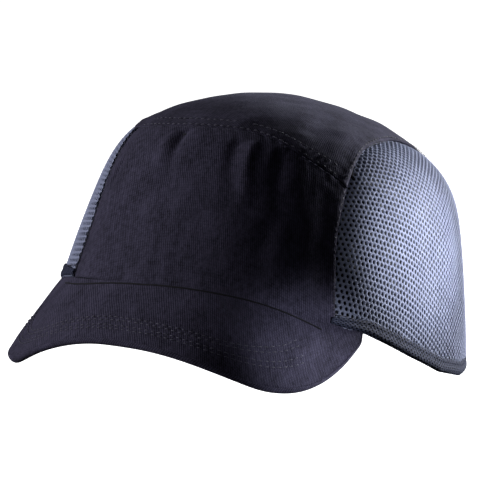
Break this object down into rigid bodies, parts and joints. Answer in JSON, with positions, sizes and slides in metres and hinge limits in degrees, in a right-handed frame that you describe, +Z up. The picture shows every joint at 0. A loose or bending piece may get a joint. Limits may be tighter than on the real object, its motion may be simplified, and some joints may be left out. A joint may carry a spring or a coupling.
{
  "type": "bump cap",
  "caption": "Cloth cap with a short arched peak, mesh sides and a strap at the nape, round a padded hard shell that slides out downwards.",
  "frame": {"origin": "middle of the head opening, on the crown's axis", "axes": "+Z up as worn, -Y the way the peak points, +X the wearer's left; the crown's axis leans back 16.1 degrees"},
  "size_m": [0.1789, 0.2407, 0.139],
  "materials": {
    "twill": "matt",
    "mesh": "matt",
    "binding": "matt",
    "lining": "matt",
    "webbing": "matt",
    "loop_pile": "matt",
    "hook_tape": "matt",
    "peak_plastic": "matt",
    "shell_plastic": "satin",
    "foam": "matt",
    "towelling": "matt"
  },
  "bodies": {
    "cap": {"front_panel": "twill", "crown_strip": "twill", "side_mesh_left": "mesh", "side_mesh_right": "mesh", "hem_binding_left": "binding", "hem_binding_right": "binding", "rear_arch_binding": "binding", "front_lining": "lining", "seam_tape_brow": "binding", "seam_tape_temple_left": "binding", "seam_tape_temple_right": "binding", "seam_tape_top_left": "binding", "seam_tape_top_right": "binding", "peak_seam_tape": "binding", "peak_top_cover": "twill", "peak_under_cover": "twill", "peak_edge_roll": "twill", "peak_board": "peak_plastic", "loop_tab": "webbing", "loop_patch": "loop_pile", "strap_sleeve": "twill", "insert_loop_dots": "loop_pile"},
    "insert": {"insert_hook_dots": "hook_tape", "bump_shell": "shell_plastic", "crown_pad_middle": "foam", "crown_pad_left": "foam", "crown_pad_right": "foam", "side_pad_left": "foam", "side_pad_right": "foam", "rear_pad": "foam", "brow_pad": "foam", "sweatband": "towelling"},
    "strap": {"closure_tab": "webbing", "hook_patch": "hook_tape"}
  },
  "joints": [
    {"name": "insert_slide", "type": "slide", "parent": "cap", "child": "insert", "axis": [0, -0.2773, -0.9608], "range_m": [0, 0.15]},
    {"name": "strap_adjust", "type": "hinge", "parent": "cap", "child": "strap", "pos_m": [0, 0.02498, -0.00721], "axis": [0, 0.2773, 0.9608], "range_deg": [-12, 6]}
  ]
}
